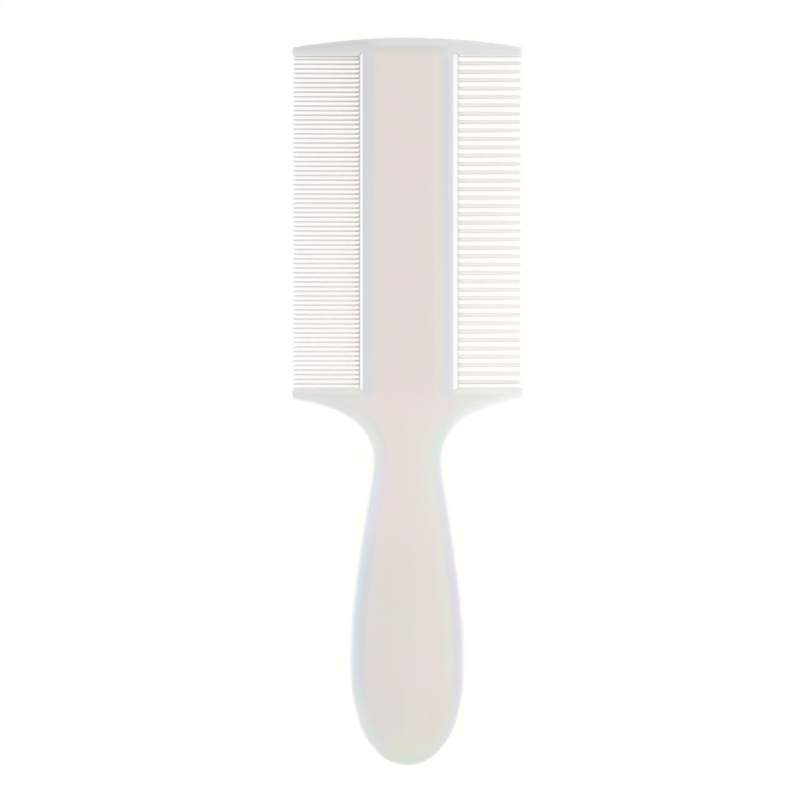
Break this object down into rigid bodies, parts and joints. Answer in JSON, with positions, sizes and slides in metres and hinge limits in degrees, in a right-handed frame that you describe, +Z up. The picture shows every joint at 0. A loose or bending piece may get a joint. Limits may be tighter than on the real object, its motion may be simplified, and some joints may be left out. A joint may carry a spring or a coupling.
{
  "type": "flea comb",
  "caption": "Flat flea comb with a rounded paddle handle; fine teeth run along one side of its central spine and coarser teeth along the other, between an end bar and a shoulder.",
  "frame": {"origin": "centre of the footprint, on the face the comb lies on", "axes": "+X across the comb towards the coarse teeth, +Y along the comb from the handle towards the end bar, +Z up through the thickness"},
  "size_m": [0.06, 0.1898, 0.0044],
  "materials": {
    "frame_plastic": "semi-gloss, milky",
    "fine_strip_plastic": "semi-gloss, milky",
    "coarse_strip_plastic": "semi-gloss, milky"
  },
  "bodies": {
    "root": {"frame_handle": "frame_plastic", "fine_tooth_strip": "fine_strip_plastic", "coarse_tooth_strip": "coarse_strip_plastic"}
  },
  "joints": []
}
